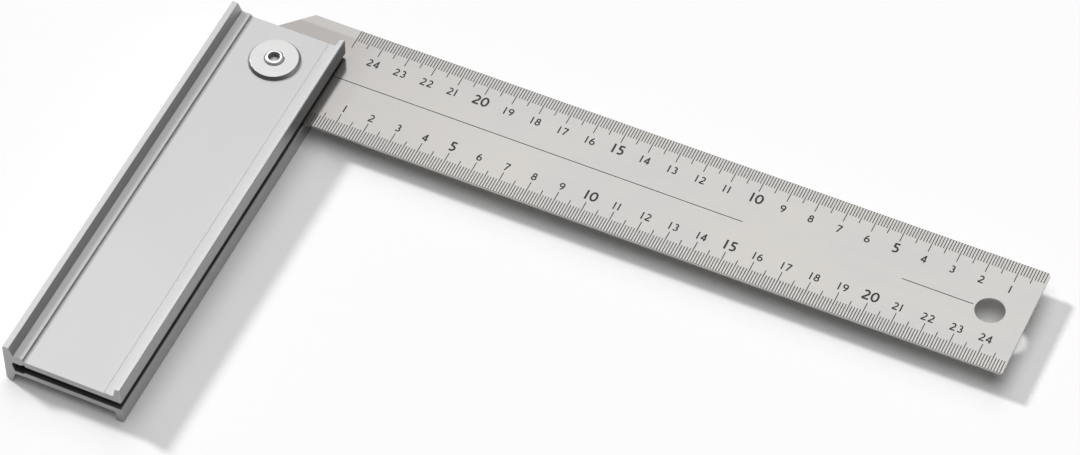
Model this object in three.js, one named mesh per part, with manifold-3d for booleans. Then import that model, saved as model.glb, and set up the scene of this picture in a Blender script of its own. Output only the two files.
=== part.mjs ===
// Adjustable set square: a steel rule blade that turns in the slot of an extruded aluminium stock,
// and is clamped there by a socket screw at the pivot.
// Millimetres. X runs along the blade, Y along the stock towards its pivot end, Z is up.
// The square is built round the corner where the stock's inner face meets the blade's inner edge,
// with the plane that it rests on at Z 0. At the end it is moved so that the origin is the middle of
// its footprint.
import * as THREE from 'three';
import Module from 'manifold-3d';
import { mergeVertices } from 'three/addons/utils/BufferGeometryUtils.js';

const wasm = await Module();
wasm.setup();

// Blade, with its scale's zero at the stock's inner face
const bladeReach = 250;
const bladeWidth = 44.5;
const bladeThickness = 0.8;
const freeEndUpperRadius = 1.5;
const freeEndLowerRadius = 0.8;
const hangingHoleRadius = 5;
const hangingHoleInset = 12.85; // free end to the hole's centre
const tailChamferRelief = 2.1; // how far the tail's chamfer lies inside its swing circle

// Stock
const stockLength = 161;
const stockWidth = 42.6;
const stockBeyondPivot = 14.5; // pivot axis to the stock's upper end
const plateThickness = 2.4;
const lipRise = 4.45; // lips and flanges stand this far off the plates
const edgeBreak = 0.3;

// Outer flange, shelf and the wall that closes the slot, all measured from the outer face
const flangeTipWidth = 2.2;
const flangeFootWidth = 3.6;
const shelfWidth = 3.4;
const shelfRise = 1;
const shelfDropRun = 0.3; // steep drop from the shelf to its fillet
const shelfFilletRun = 1.1;
const shelfFilletRise = 0.4;
const outerFootChamfer = 0.8;
const slotWallThickness = 3;
const slotEndChamfer = 0.5;

// Grooves near the slot's closed end, where the edge of the folded blade comes to lie
const recessFloorInset = 3.7; // outer face to the recess's floor
const recessFloorWidth = 2.8;
const recessSlope = 1;
const recessDepth = 0.85;
const notchInset = 6.3; // outer face to the start of the notch
const notchRun = 1.1; // start of the notch to its apex
const notchReturn = 0.5; // apex to the notch's far side
const notchRise = 0.85;

// Lips along the inner face
const upperLipTopWidth = 1.5;
const upperLipTopFall = 0.3;
const upperLipChamfer = 0.7;
const upperLipFootWidth = 2.75;
const guideBandWidth = 3.15; // raised band along the lip's foot
const guideBandRise = 0.12;
const lowerLipWidth = 2.7;
const lowerLipFillet = 0.8;
const mouthChamfer = 0.4;

// Pivot and clamp
const pivotInset = 19.5; // inner face to the pivot axis
const foldedEdgeGap = 2.45; // folded blade's edge to the slot's wall
const tailClearance = 0.5; // swing circle of the blade's tail to the slot's wall
const sleeveRadius = 5;
const clampTravel = 0.2; // the sleeve stops this far above the lower plate
const discRadius = 9;
const discTopRadius = 8.25;
const discThickness = 1.3;
const discRim = 0.3;
const counterboreDepth = 1;
const frictionWasherRadius = 10.5;
const frictionWasherThickness = 1.15;
const nutRadius = 9;
const nutDiscThickness = 1.3;
const nutRimChamfer = 0.4;
const nutNeckSide = 8;
const nutNeckShortfall = 0.4; // the neck stops this far below the lower plate's top

// Clamp screw, M4 with a low head
const shankRadius = 2;
const shankTipInset = 0.2;
const shankTipChamfer = 0.35;
const headRadius = 3.3;
const headStand = 0.9; // how far the head stands above the disc
const headRound = 0.4;
const hexFlats = 3;
const hexDepth = 1.9;
const hexCountersinkRadius = 1.95;
const springWasherThickness = 0.6;
const springWasherBand = 1.15; // width of its ring
const springWasherSlitDegrees = 14;

// Clearances
const faceGap = 0.05; // between flat faces that touch or turn on each other
const runningGap = 0.06; // radial, between a pin and its hole
const shankGap = 0.2; // radial, between the screw's shank and the sleeve or spring washer
const headGap = 0.15; // radial, between the screw's head and its counterbore
const cutOverrun = 1;

// Facets
const roundSegments = 64;
const smallRoundSegments = 48;
const cornerSegments = 6;
const tailSegments = 18;

// Levels, worked out from the rest plane up
const lowerPlateBottom = lipRise;
const lowerPlateTop = lowerPlateBottom + plateThickness;
const lowerWasherBottom = lowerPlateTop + faceGap;
const bladeBottom = lowerWasherBottom + frictionWasherThickness + faceGap;
const bladeTop = bladeBottom + bladeThickness;
const upperWasherBottom = bladeTop + faceGap;
const upperPlateBottom = upperWasherBottom + frictionWasherThickness + faceGap;
const upperPlateTop = upperPlateBottom + plateThickness;
const stockHeight = upperPlateTop + lipRise;
const slotMiddle = (lowerPlateTop + upperPlateBottom) / 2;
const discBottom = upperPlateTop + faceGap;
const discTop = discBottom + discThickness;
const counterboreFloor = discTop - counterboreDepth;
const springWasherBottom = counterboreFloor + faceGap;
const headBottom = springWasherBottom + springWasherThickness + faceGap;
const headTop = discTop + headStand;
const nutDiscTop = lowerPlateBottom - faceGap;
const nutBottom = nutDiscTop - nutDiscThickness;

// Places in plan, from the corner of the square
const pivotToWall = stockWidth - slotWallThickness - pivotInset;
const pivotX = -pivotInset;
const pivotY = pivotToWall - foldedEdgeGap;
const swingRadius = pivotToWall - tailClearance;
const stockUpperEnd = pivotY + stockBeyondPivot;
const stockLowerEnd = stockUpperEnd - stockLength;

// Finishes
const anodisedAluminium = new THREE.MeshStandardMaterial({ color: 0xd2d3d4, roughness: 0.42, metalness: 0.85 });
const satinSteel = new THREE.MeshStandardMaterial({ color: 0xc2bfbc, roughness: 0.34, metalness: 0.95 });
const turnedSteel = new THREE.MeshStandardMaterial({ color: 0xe2e2e1, roughness: 0.25, metalness: 0.95 });
const springSteel = new THREE.MeshStandardMaterial({ color: 0x6b6a68, roughness: 0.4, metalness: 0.9 });
const nylon = new THREE.MeshStandardMaterial({ color: 0x2b2b2c, roughness: 0.7, metalness: 0 });

// A closed solid for joining and cutting, from a geometry whose shared corners are merged
function solidOf(geometry) {
  const bare = geometry.clone();
  bare.deleteAttribute('normal');
  bare.deleteAttribute('uv');
  const merged = mergeVertices(bare);
  return new wasm.Manifold(new wasm.Mesh({
    numProp: 3,
    vertProperties: new Float32Array(merged.attributes.position.array),
    triVerts: new Uint32Array(merged.index.array),
  }));
}

function geometryOf(solid) {
  const mesh = solid.getMesh();
  const geometry = new THREE.BufferGeometry();
  geometry.setAttribute('position', new THREE.BufferAttribute(new Float32Array(mesh.vertProperties), 3));
  geometry.setIndex(new THREE.BufferAttribute(new Uint32Array(mesh.triVerts), 1));
  geometry.computeVertexNormals();
  return geometry;
}

// Points along an arc from one angle to another, both ends included
function arc(x, y, radius, from, to, segments) {
  const points = [];
  for (let step = 0; step <= segments; step += 1) {
    const angle = from + (to - from) * (step / segments);
    points.push([x + radius * Math.cos(angle), y + radius * Math.sin(angle)]);
  }
  return points;
}

function circle(x, y, radius) {
  return arc(x, y, radius, 0, 2 * Math.PI, roundSegments).slice(1);
}

// A straight bar of an outline with holes, from level 0 up
function extruded(outline, height, holes = []) {
  const shape = new THREE.Shape(outline.map(([x, y]) => new THREE.Vector2(x, y)));
  for (const hole of holes) {
    shape.holes.push(new THREE.Path(hole.map(([x, y]) => new THREE.Vector2(x, y))));
  }
  return new THREE.ExtrudeGeometry(shape, { depth: height, bevelEnabled: false });
}

// A turned piece, from a closed profile of radius and level
function turned(profile, segments = roundSegments) {
  const points = profile.map(([radius, level]) => new THREE.Vector2(radius, level));
  return new THREE.LatheGeometry(points, segments).rotateX(Math.PI / 2);
}

function upright(radius, bottom, top, segments = roundSegments) {
  return turned([[0, bottom], [radius, bottom], [radius, top], [0, top]], segments);
}

function mesh(name, geometry, material) {
  const piece = new THREE.Mesh(geometry, material);
  piece.name = name;
  return piece;
}

// The stock's cross-section, X across and Y up, drawn from the lower lip's outer face round the slot,
// over the top, down the outer flange and back along the underside
function stockSection() {
  const fromOuter = (distance) => distance - stockWidth;
  const shelfEnd = flangeFootWidth + shelfWidth;
  const recessEnd = recessFloorInset + recessFloorWidth;
  const bandTop = upperPlateTop + guideBandRise;
  const bandEnd = -(upperLipFootWidth + guideBandWidth);
  const lipInner = upperLipTopWidth + upperLipChamfer;
  const filletX = -(lowerLipWidth + lowerLipFillet);
  const shelfFilletEnd = fromOuter(shelfEnd + shelfDropRun + shelfFilletRun);
  const shelfFillet = arc(0, 0, 1, Math.PI / 2, 0, cornerSegments).map(([across, down]) => [
    shelfFilletEnd - shelfFilletRun * across,
    upperPlateTop + shelfFilletRise * (1 - down),
  ]);
  return [
    [0, edgeBreak],
    [0, lowerPlateTop - mouthChamfer],
    [-mouthChamfer, lowerPlateTop],
    [fromOuter(recessEnd + recessSlope), lowerPlateTop],
    [fromOuter(recessEnd), lowerPlateTop - recessDepth],
    [fromOuter(recessFloorInset), lowerPlateTop - recessDepth],
    [fromOuter(slotWallThickness), slotMiddle],
    [fromOuter(slotWallThickness), upperPlateBottom - slotEndChamfer],
    [fromOuter(slotWallThickness + slotEndChamfer), upperPlateBottom],
    [fromOuter(notchInset), upperPlateBottom],
    [fromOuter(notchInset + notchRun), upperPlateBottom + notchRise],
    [fromOuter(notchInset + notchRun + notchReturn), upperPlateBottom],
    [-mouthChamfer, upperPlateBottom],
    [0, upperPlateBottom + mouthChamfer],
    [0, stockHeight - edgeBreak],
    [-edgeBreak, stockHeight],
    [-upperLipTopWidth, stockHeight - upperLipTopFall],
    [-lipInner, stockHeight - upperLipTopFall - upperLipChamfer],
    [-upperLipFootWidth, bandTop],
    [bandEnd, bandTop],
    [bandEnd, upperPlateTop],
    ...shelfFillet,
    [fromOuter(shelfEnd), upperPlateTop + shelfRise],
    [fromOuter(flangeFootWidth), upperPlateTop + shelfRise],
    [fromOuter(flangeTipWidth), stockHeight],
    [fromOuter(edgeBreak), stockHeight],
    [fromOuter(0), stockHeight - edgeBreak],
    [fromOuter(0), outerFootChamfer],
    [fromOuter(outerFootChamfer), 0],
    [fromOuter(flangeTipWidth), 0],
    [fromOuter(flangeFootWidth), lowerPlateBottom],
    ...arc(filletX, lowerPlateBottom - lowerLipFillet, lowerLipFillet, Math.PI / 2, 0, cornerSegments),
    [-lowerLipWidth, 0],
    [-edgeBreak, 0],
  ];
}

// The extrusion, with a round hole for the sleeve in its upper plate and a square one for the nut's
// neck in its lower plate
function stockProfile() {
  const bar = extruded(stockSection(), stockLength);
  bar.rotateX(Math.PI / 2);
  bar.translate(0, stockUpperEnd, 0);
  const sleeveHole = upright(sleeveRadius + runningGap, upperPlateBottom - cutOverrun, upperPlateTop + cutOverrun);
  sleeveHole.translate(pivotX, pivotY, 0);
  const neckHoleSide = nutNeckSide + 2 * runningGap;
  const neckHole = new THREE.BoxGeometry(neckHoleSide, neckHoleSide, plateThickness + 2 * cutOverrun);
  neckHole.translate(pivotX, pivotY, (lowerPlateBottom + lowerPlateTop) / 2);
  return geometryOf(solidOf(bar).subtract(solidOf(sleeveHole)).subtract(solidOf(neckHole)));
}

// The blade. Its tail, inside the stock, is an arc about the pivot that clears the slot's wall, cut by
// a 45 degree chamfer that lets the blade turn past the square position
function blade() {
  const chamferDistance = swingRadius - tailChamferRelief; // pivot to the chamfer's line
  const alongChamfer = Math.sqrt(swingRadius ** 2 - chamferDistance ** 2);
  const diagonal = Math.SQRT1_2;
  const chamferHighX = pivotX + (bladeWidth - pivotY) - chamferDistance / diagonal;
  const tailStart = (3 / 4) * Math.PI + Math.atan2(alongChamfer, chamferDistance);
  const tailEnd = Math.PI + Math.asin(pivotY / swingRadius);

  const lowerRound = freeEndLowerRadius;
  const upperRound = freeEndUpperRadius;
  const outline = [
    ...arc(bladeReach - lowerRound, lowerRound, lowerRound, -Math.PI / 2, 0, cornerSegments),
    ...arc(bladeReach - upperRound, bladeWidth - upperRound, upperRound, 0, Math.PI / 2, cornerSegments),
    [chamferHighX, bladeWidth],
    ...arc(pivotX, pivotY, swingRadius, tailStart, tailEnd, tailSegments),
  ];
  const holes = [
    circle(pivotX, pivotY, sleeveRadius + runningGap),
    circle(bladeReach - hangingHoleInset, bladeWidth / 2, hangingHoleRadius),
  ];
  return extruded(outline, bladeThickness, holes).translate(0, 0, bladeBottom);
}

// Disc washer and sleeve in one turned piece: the disc bears on the upper plate, and the blade turns
// on the sleeve
function pivotDisc() {
  const sleeveBottom = lowerPlateTop + clampTravel;
  const boreRadius = shankRadius + shankGap;
  const counterboreRadius = headRadius + headGap;
  return turned([
    [boreRadius, sleeveBottom],
    [sleeveRadius, sleeveBottom],
    [sleeveRadius, discBottom],
    [discRadius, discBottom],
    [discRadius, discBottom + discRim],
    [discTopRadius, discTop],
    [counterboreRadius, discTop],
    [counterboreRadius, counterboreFloor],
    [boreRadius, counterboreFloor],
    [boreRadius, sleeveBottom],
  ]);
}

// Socket screw with a rounded low head and a countersunk hexagon socket
function clampScrew() {
  const shankTip = nutBottom + shankTipInset;
  const headEdge = [];
  for (let step = 0; step <= cornerSegments; step += 1) {
    const angle = (step / cornerSegments) * (Math.PI / 2);
    headEdge.push([
      headRadius - headRound * (1 - Math.cos(angle)),
      headTop - headRound * (1 - Math.sin(angle)),
    ]);
  }
  const body = turned([
    [0, shankTip],
    [shankRadius - shankTipChamfer, shankTip],
    [shankRadius, shankTip + shankTipChamfer],
    [shankRadius, headBottom],
    [headRadius, headBottom],
    ...headEdge,
    [0, headTop],
  ], smallRoundSegments);
  const hexCorner = hexFlats / 2 / Math.cos(Math.PI / 6);
  const socketFloor = headTop - hexDepth;
  const socket = upright(hexCorner, socketFloor, headTop + cutOverrun, 6);
  const countersinkDepth = hexCountersinkRadius - hexFlats / 2;
  const countersink = turned([
    [0, headTop - countersinkDepth],
    [hexFlats / 2, headTop - countersinkDepth],
    [hexCountersinkRadius, headTop],
    [hexCountersinkRadius, headTop + cutOverrun],
    [0, headTop + cutOverrun],
  ], smallRoundSegments);
  return geometryOf(solidOf(body).subtract(solidOf(socket)).subtract(solidOf(countersink)));
}

// Split ring under the screw's head
function springWasher() {
  const innerRadius = shankRadius + shankGap;
  const outerRadius = innerRadius + springWasherBand;
  const halfSlit = THREE.MathUtils.degToRad(springWasherSlitDegrees / 2);
  const ring = [
    ...arc(0, 0, outerRadius, halfSlit, 2 * Math.PI - halfSlit, smallRoundSegments),
    ...arc(0, 0, innerRadius, 2 * Math.PI - halfSlit, halfSlit, smallRoundSegments),
  ];
  return extruded(ring, springWasherThickness).translate(0, 0, springWasherBottom);
}

// Ring that keeps the blade in the middle of the slot and gives the clamp its grip
function frictionWasher(bottom) {
  const ring = extruded(circle(0, 0, frictionWasherRadius), frictionWasherThickness,
    [circle(0, 0, sleeveRadius + runningGap)]);
  return ring.translate(0, 0, bottom);
}

// Threaded disc under the lower plate, with a square neck that keeps it from turning
function clampNut() {
  const disc = turned([
    [0, nutBottom],
    [nutRadius - nutRimChamfer, nutBottom],
    [nutRadius, nutBottom + nutRimChamfer],
    [nutRadius, nutDiscTop],
    [0, nutDiscTop],
  ]);
  const neckTop = lowerPlateTop - nutNeckShortfall;
  const neckBottom = nutDiscTop - nutDiscThickness / 2; // rooted inside the disc
  const neck = new THREE.BoxGeometry(nutNeckSide, nutNeckSide, neckTop - neckBottom);
  neck.translate(0, 0, (neckTop + neckBottom) / 2);
  const bore = upright(shankRadius + runningGap, nutBottom - cutOverrun, neckTop + cutOverrun, smallRoundSegments);
  return geometryOf(solidOf(disc).add(solidOf(neck)).subtract(solidOf(bore)));
}

// Pieces round the pivot axis are made about it, and placed by their group
const pivotStack = new THREE.Group();
pivotStack.position.set(pivotX, pivotY, 0);
pivotStack.add(
  mesh('pivot_disc', pivotDisc(), turnedSteel),
  mesh('clamp_screw', clampScrew(), turnedSteel),
  mesh('spring_washer', springWasher(), springSteel),
  mesh('upper_friction_washer', frictionWasher(upperWasherBottom), nylon),
  mesh('lower_friction_washer', frictionWasher(lowerWasherBottom), nylon),
  mesh('clamp_nut', clampNut(), turnedSteel),
);

const setSquare = new THREE.Group();
setSquare.name = 'adjustable_set_square';
setSquare.add(
  mesh('stock_profile', stockProfile(), anodisedAluminium),
  mesh('blade', blade(), satinSteel),
  pivotStack,
);

// The middle of the footprint
const highestY = Math.max(bladeWidth, stockUpperEnd);
setSquare.position.set((stockWidth - bladeReach) / 2, -(highestY + stockLowerEnd) / 2, 0);

export default setSquare;
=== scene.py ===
"""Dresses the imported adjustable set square: an aluminium stock, a steel rule blade that turns in
its slot, and the clamp at the pivot. Every piece stands in the frame's own place, in metres."""
import math

import bmesh
import bpy
import numpy as np
from bpy.props import FloatProperty, FloatVectorProperty, PointerProperty
from mathutils import Matrix, Vector
from mathutils.geometry import tessellate_polygon


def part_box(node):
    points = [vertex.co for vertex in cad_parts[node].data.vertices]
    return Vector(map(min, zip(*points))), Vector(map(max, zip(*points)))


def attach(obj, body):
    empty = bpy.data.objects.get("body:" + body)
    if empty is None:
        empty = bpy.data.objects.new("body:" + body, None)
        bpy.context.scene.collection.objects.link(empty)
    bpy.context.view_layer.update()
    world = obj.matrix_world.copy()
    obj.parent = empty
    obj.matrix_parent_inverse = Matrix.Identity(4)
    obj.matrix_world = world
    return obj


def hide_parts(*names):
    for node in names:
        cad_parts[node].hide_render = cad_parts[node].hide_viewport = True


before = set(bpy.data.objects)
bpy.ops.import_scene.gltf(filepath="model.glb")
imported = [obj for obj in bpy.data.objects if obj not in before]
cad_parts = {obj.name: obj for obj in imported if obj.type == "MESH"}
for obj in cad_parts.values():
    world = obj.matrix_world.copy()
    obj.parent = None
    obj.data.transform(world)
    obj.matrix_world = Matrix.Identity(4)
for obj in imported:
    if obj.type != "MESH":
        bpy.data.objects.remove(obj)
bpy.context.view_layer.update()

bl_info = {
    "name": "Adjustable Set Square",
    "version": (1, 0, 0),
    "blender": (4, 5, 0),
    "location": "3D View > Sidebar > Set Square",
    "description": "Dresses the packed adjustable set square, piece by piece",
    "category": "Object",
}

STOCK_LOW, STOCK_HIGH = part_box("stock_profile")
BLADE_LOW, BLADE_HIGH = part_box("blade")
DISC_LOW, DISC_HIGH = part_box("pivot_disc")
SCREW_LOW, SCREW_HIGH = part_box("clamp_screw")
NUT_LOW, NUT_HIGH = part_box("clamp_nut")
SPRING_LOW, SPRING_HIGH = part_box("spring_washer")
UPPER_WASHER_LOW, UPPER_WASHER_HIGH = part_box("upper_friction_washer")
LOWER_WASHER_LOW, LOWER_WASHER_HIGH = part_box("lower_friction_washer")

MM = 0.001
# The corner of the square, where the stock's inner face meets the blade's inner edge
CORNER_X = STOCK_HIGH.x
CORNER_Y = BLADE_LOW.y
PIVOT_X = (DISC_LOW.x + DISC_HIGH.x) / 2
PIVOT_Y = (DISC_LOW.y + DISC_HIGH.y) / 2
PIVOT = np.array([PIVOT_X, PIVOT_Y])

# Gaps: round a pin in its hole, between flat faces, round the screw's shank and round its head
RUNNING_GAP = 0.06 * MM
FACE_GAP = 0.05 * MM
SHANK_GAP = 0.2 * MM
HEAD_GAP = 0.15 * MM

ARC_STEPS = 5
TAIL_STEPS = 36
DISC_STEPS = 160
SMALL_ROUND_STEPS = 96
HEAD_ROUND_STEPS = 8
SMOOTH_ANGLE = math.radians(32)
# Points nearer to each other than this are one point
SAME_POINT = 1e-8
# A face belongs to a side of a piece when this much of its normal points that way
FLAT_NORMAL = 0.9


def length(name, description, default_mm):
    """A size that a user may change, given in millimetres and kept in metres."""
    return FloatProperty(name=name, description=description, default=default_mm * MM,
                         min=0, unit="LENGTH", precision=5)


def colour(name, description, default):
    """A colour that a user may change, as linear red, green and blue."""
    return FloatVectorProperty(name=name, description=description, default=default,
                               min=0, max=1, size=3, subtype="COLOR")


def share(name, description, default):
    """A plain number from 0 to 1 that a user may change."""
    return FloatProperty(name=name, description=description, default=default, min=0, max=1,
                         subtype="FACTOR")


class StockSizes(bpy.types.PropertyGroup):
    """Sizes of the extruded stock"""
    plate: length("Plate", "Thickness of the two plates beside the slot", 2.4)
    lip_rise: length("Lip Rise", "How far lips and flanges stand off the plates", 4.45)
    flange_tip: length("Flange Tip", "Width of the outer flange at its edge", 2.2)
    flange_foot: length("Flange Foot", "Width of the outer flange at its foot", 3.6)
    shelf: length("Shelf", "Width of the shelf at the flange's foot", 3.4)
    shelf_rise: length("Shelf Rise", "Height of the shelf over the plate", 1.0)
    wall: length("Slot Wall", "Thickness of the wall that closes the slot", 3.0)
    band: length("Guide Band", "Width of the low band along the upper lip", 3.15)
    saw_edge: length("Sawn Edge", "Edge break round the sawn ends", 0.1)


class BladeSizes(bpy.types.PropertyGroup):
    """Sizes of the steel rule blade"""
    edge: length("Edge Break", "Edge break along the blade's faces", 0.07)
    upper_round: length("Upper Round", "Corner radius at the free end, outer edge", 1.5)
    lower_round: length("Lower Round", "Corner radius at the free end, inner edge", 0.8)
    hole: length("Hanging Hole", "Radius of the hanging hole", 5.0)
    hole_inset: length("Hole Inset", "Free end to the hanging hole's centre", 12.85)


class MarkSizes(bpy.types.PropertyGroup):
    """Sizes of the etched scales"""
    tick: length("Tick Width", "Width of a scale mark", 0.3)
    proud: length("Mark Height", "How far a mark stands off the blade", 0.015)
    axis: length("Print Axis", "Inner edge to the line midway between the scales", 22.5)
    millimetre: length("1 mm Mark", "Print axis to the inner end of a 1 mm mark", 17.25)
    five: length("5 mm Mark", "Print axis to the inner end of a 5 mm mark", 15.4)
    ten: length("10 mm Mark", "Print axis to the inner end of a 10 mm mark", 13.85)
    digit: length("Digit Height", "Height of a plain number", 3.07)
    bold_digit: length("Bold Digit Height", "Height of every fifth number", 3.95)
    weight: share("Stroke", "Width of a plain number's strokes as a share of its height", 0.165)
    bold_weight: share("Bold Stroke", "The same for every fifth number", 0.18)
    lower_base: length("Lower Numbers", "Inner edge to the foot of the lower scale's numbers", 9.68)
    upper_base: length("Upper Numbers", "The same for the upper scale's numbers", 31.45)


class ClampSizes(bpy.types.PropertyGroup):
    """Sizes of the clamp at the pivot"""
    disc_top: length("Disc Top", "Radius of the disc's flat top", 8.25)
    disc_rim: length("Disc Rim", "Height of the disc's straight rim", 0.3)
    sleeve: length("Sleeve", "Radius of the sleeve that the blade turns on", 5.0)
    counterbore: length("Counterbore", "Depth of the disc's counterbore", 1.0)
    head: length("Screw Head", "Radius of the screw's head", 3.3)
    head_round: length("Head Round", "Radius of the head's upper edge", 1.0)
    shank: length("Shank", "Radius of the screw's shank", 2.0)
    pitch: length("Pitch", "Rise of the thread in one turn", 0.7)
    flats: length("Socket", "Width of the hexagon socket across its flats", 3.0)
    socket_depth: length("Socket Depth", "Depth of the hexagon socket", 2.25)
    countersink: length("Socket Mouth", "Radius of the socket's countersink", 2.1)
    neck: length("Nut Neck", "Side of the nut's square neck", 8.0)


class Finishes(bpy.types.PropertyGroup):
    """Colours of the materials"""
    aluminium: colour("Aluminium", "Satin anodised aluminium", (0.495, 0.495, 0.498))
    # Painted shade: the darker tone of the stock's faces turned to the right, away from the key
    # lamp, and of the shelf in the flange's shadow
    shade_painted: colour("Milled Aluminium", "The stock's milled inner faces", (0.43, 0.43, 0.433))
    sawn: colour("Sawn Aluminium", "The stock's sawn ends", (0.43, 0.43, 0.433))
    # Painted shade: the slot's walls are made nearly black so that the recess reads dark
    slot: colour("Slot Aluminium", "Painted shade on the walls of the stock's slot", (0.18, 0.18, 0.18))
    steel: colour("Satin Steel", "Brushed steel of the blade", (0.461, 0.454, 0.445))
    turned: colour("Turned Steel", "Fine turned steel of the clamp", (0.51, 0.51, 0.507))
    # Painted shade: the disc's steep side is darker to stand for the dark surroundings that it
    # reflects
    rim: colour("Rim Steel", "Painted shade on the side of the disc", (0.34, 0.34, 0.34))
    # Painted shade: the socket's walls are darkened so that the recess reads dark
    socket: colour("Socket Steel", "Painted shade on the walls of the screw's socket", (0.2, 0.2, 0.2))
    spring: colour("Spring Steel", "Dull steel of the split ring", (0.34, 0.34, 0.34))
    nylon: colour("Nylon", "Black nylon of the friction washers", (0.03, 0.03, 0.03))
    ink: colour("Etched Ink", "Dark marks of the scales", (0.025, 0.025, 0.025))
    floor: colour("Floor", "The plain floor", (0.92, 0.92, 0.92))


class StageSettings(bpy.types.PropertyGroup):
    """Light and camera"""
    floor_side: length("Floor Side", "Side of the square floor", 8000)
    lens: FloatProperty(name="Lens", description="Focal length on the 36 mm wide sensor",
                        default=150.49, min=1)
    light: FloatProperty(name="Light", description="Level of all the lamps together",
                         default=1.0, min=0)
    floor_glow: share("Floor Glow", "White added to the floor where it is seen", 0.03)
    world: share("World", "Level of the light from all round", 0.01)
    reflected: share("Reflected", "Level of the pale walls that reflections see", 0.3)


def settings():
    """The sizes and colours that the operators work from."""
    return bpy.context.scene.set_square


# Shapes

def unit(vectors):
    """The same vectors, each divided by its own length."""
    return vectors / np.linalg.norm(vectors, axis=-1, keepdims=True)


def arc(centre, radius, start, end, steps):
    """Points on a circle: centre plus radius times cosine and sine of evenly spaced angles."""
    angle = np.linspace(start, end, steps + 1)
    return centre + radius * np.stack([np.cos(angle), np.sin(angle)], axis=-1)


def ring(radius, steps=DISC_STEPS, centre=PIVOT):
    """A full circle, about the pivot unless told otherwise, without its repeated last point."""
    return arc(centre, radius, 0, 2 * math.pi, steps)[:-1]


def round_angles(steps):
    """Evenly spaced angles, once round."""
    return np.linspace(0, 2 * math.pi, steps, endpoint=False)


def rounded(corners):
    """The closed outline through the corners, each row x, y and the radius before and after it. An
    arc starts and ends at radius / tangent(half the opening angle) from its corner. It is the
    rational curve ((1-t)^2 start + 2 w t (1-t) corner + t^2 end) / ((1-t)^2 + 2 w t (1-t) + t^2),
    where w is the sine of half the opening angle, which makes it a circle when both radii match."""
    rows = np.asarray(corners, float)
    points = rows[:, :2]
    back = unit(np.roll(points, 1, axis=0) - points)
    ahead = unit(np.roll(points, -1, axis=0) - points)
    half = np.arccos(np.clip((back * ahead).sum(axis=1), -1, 1)) / 2
    start = points + back * (rows[:, 2] / np.tan(half))[:, None]
    end = points + ahead * (rows[:, 3] / np.tan(half))[:, None]
    t = np.linspace(0, 1, ARC_STEPS + 1)[None, :, None]
    pull = 2 * np.sin(half)[:, None, None] * t * (1 - t)
    curve = (1 - t) ** 2 * start[:, None] + pull * points[:, None] + t ** 2 * end[:, None]
    return (curve / ((1 - t) ** 2 + pull + t ** 2)).reshape(-1, 2)


def even(corners, radii):
    """Rows for rounded(), from plain corners and the radius of each."""
    return np.column_stack([np.asarray(corners, float), radii, radii])


def counted_round(outline, clockwise):
    """The outline in the wanted sense, told by the sign of half the sum of x dy - y dx."""
    after = np.roll(outline, -1, axis=0)
    turns_left = (outline[:, 0] * after[:, 1] - after[:, 0] * outline[:, 1]).sum() > 0
    return outline if turns_left != clockwise else outline[::-1]


def moved_in(outline, distance):
    """The outline moved to its left. A point goes along the middle of its two sides' normals, by
    distance over the cosine of half the turn."""
    side = unit(np.roll(outline, -1, axis=0) - outline)
    normal = np.stack([-side[:, 1], side[:, 0]], axis=-1)
    both = normal + np.roll(normal, 1, axis=0)
    return outline + distance * 2 * both / (both ** 2).sum(axis=1, keepdims=True)


def quads(rings, closed=False):
    """Quads between each ring of vertex numbers and the next, and from the last to the first where
    they close."""
    lower, upper = (rings, np.roll(rings, -1, axis=0)) if closed else (rings[:-1], rings[1:])
    return np.stack([lower, np.roll(lower, -1, axis=1), np.roll(upper, -1, axis=1), upper],
                    axis=-1).reshape(-1, 4)


def slab(outlines, bottom, top, edge):
    """A straight bar: the outlines at four levels, moved in by the edge break at the first and the
    last, with both ends filled. The first outline is the outside and the others are holes."""
    rings = [counted_round(np.asarray(o, float), clockwise=i > 0) for i, o in enumerate(outlines)]
    layers = [np.concatenate([moved_in(r, move) for r in rings]) for move in (edge, 0, 0, edge)]
    count = len(layers[0])
    heights = np.repeat([bottom, bottom + edge, top - edge, top], count)
    points = np.hstack([np.concatenate(layers), heights[:, None]])
    faces, first = [], 0
    for r in rings:
        faces.append(quads(first + np.arange(len(r)) + count * np.arange(4)[:, None]))
        first += len(r)
    loops = [[Vector((x, y, 0)) for x, y in r] for r in rings]
    fill = np.array(tessellate_polygon(loops))
    return points, faces + [fill, fill + 3 * count]


def turned(radii, levels, steps, closed):
    """A shape turned about the pivot, whose points are the pivot plus the radius times cosine and
    sine of evenly spaced angles. Each ring has one radius and one level, or one for every step. A
    closed profile joins its last ring to its first, and an open one ends in a point at each end."""
    radii, levels = (np.stack([np.broadcast_to(value, steps) for value in each])
                     for each in (radii, levels))
    angle = round_angles(steps)
    grid, heights = (radii, levels) if closed else (radii[1:-1], levels[1:-1])
    points = np.stack([PIVOT_X + grid * np.cos(angle), PIVOT_Y + grid * np.sin(angle), heights],
                      axis=-1)
    number = np.arange(grid.size).reshape(grid.shape)
    faces = [quads(number, closed)]
    points = points.reshape(-1, 3)
    if not closed:
        poles = [[PIVOT_X, PIVOT_Y, level] for level in levels[[0, -1], 0]]
        points = np.concatenate([points, poles])
        for row, pole in ((number[0], grid.size), (number[-1], grid.size + 1)):
            faces.append(np.stack([row, np.roll(row, -1), np.full(steps, pole)], axis=-1))
    return points, faces


def mesh_of(name, points, faces):
    """A mesh from arrays of points and faces, with its normals turned outwards, its corners
    smooth up to the smoothing angle and sharp past it."""
    mesh = bpy.data.meshes.new(name)
    mesh.from_pydata(points.tolist(), [], [f for block in faces for f in block.tolist()])
    settle(mesh)
    return mesh


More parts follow.
